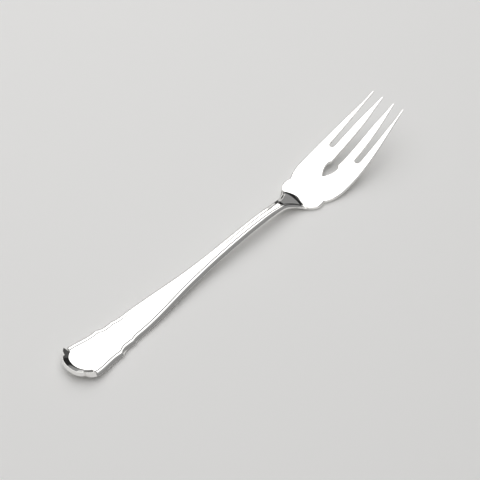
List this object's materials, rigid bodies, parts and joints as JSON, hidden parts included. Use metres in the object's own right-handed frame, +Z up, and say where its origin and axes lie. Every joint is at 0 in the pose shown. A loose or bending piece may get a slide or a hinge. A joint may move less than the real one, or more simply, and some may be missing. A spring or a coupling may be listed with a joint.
{
  "type": "fish fork",
  "caption": "Fish fork with a broad pierced head of curved tines, a heart-shaped opening, eared shoulders, and a scalloped, thread-edged handle.",
  "frame": {"origin": "middle of the fork's length and width, on the table it lies on, face up", "axes": "+X from the tail of the handle toward the tine tips, +Y to the left, +Z up out of the face"},
  "size_m": [0.1816, 0.0246, 0.0186],
  "materials": {
    "silver": "polished",
    "solder": "polished flush"
  },
  "bodies": {
    "root": {"fork_head": "silver", "handle": "silver", "solder_seam": "solder"}
  },
  "joints": []
}
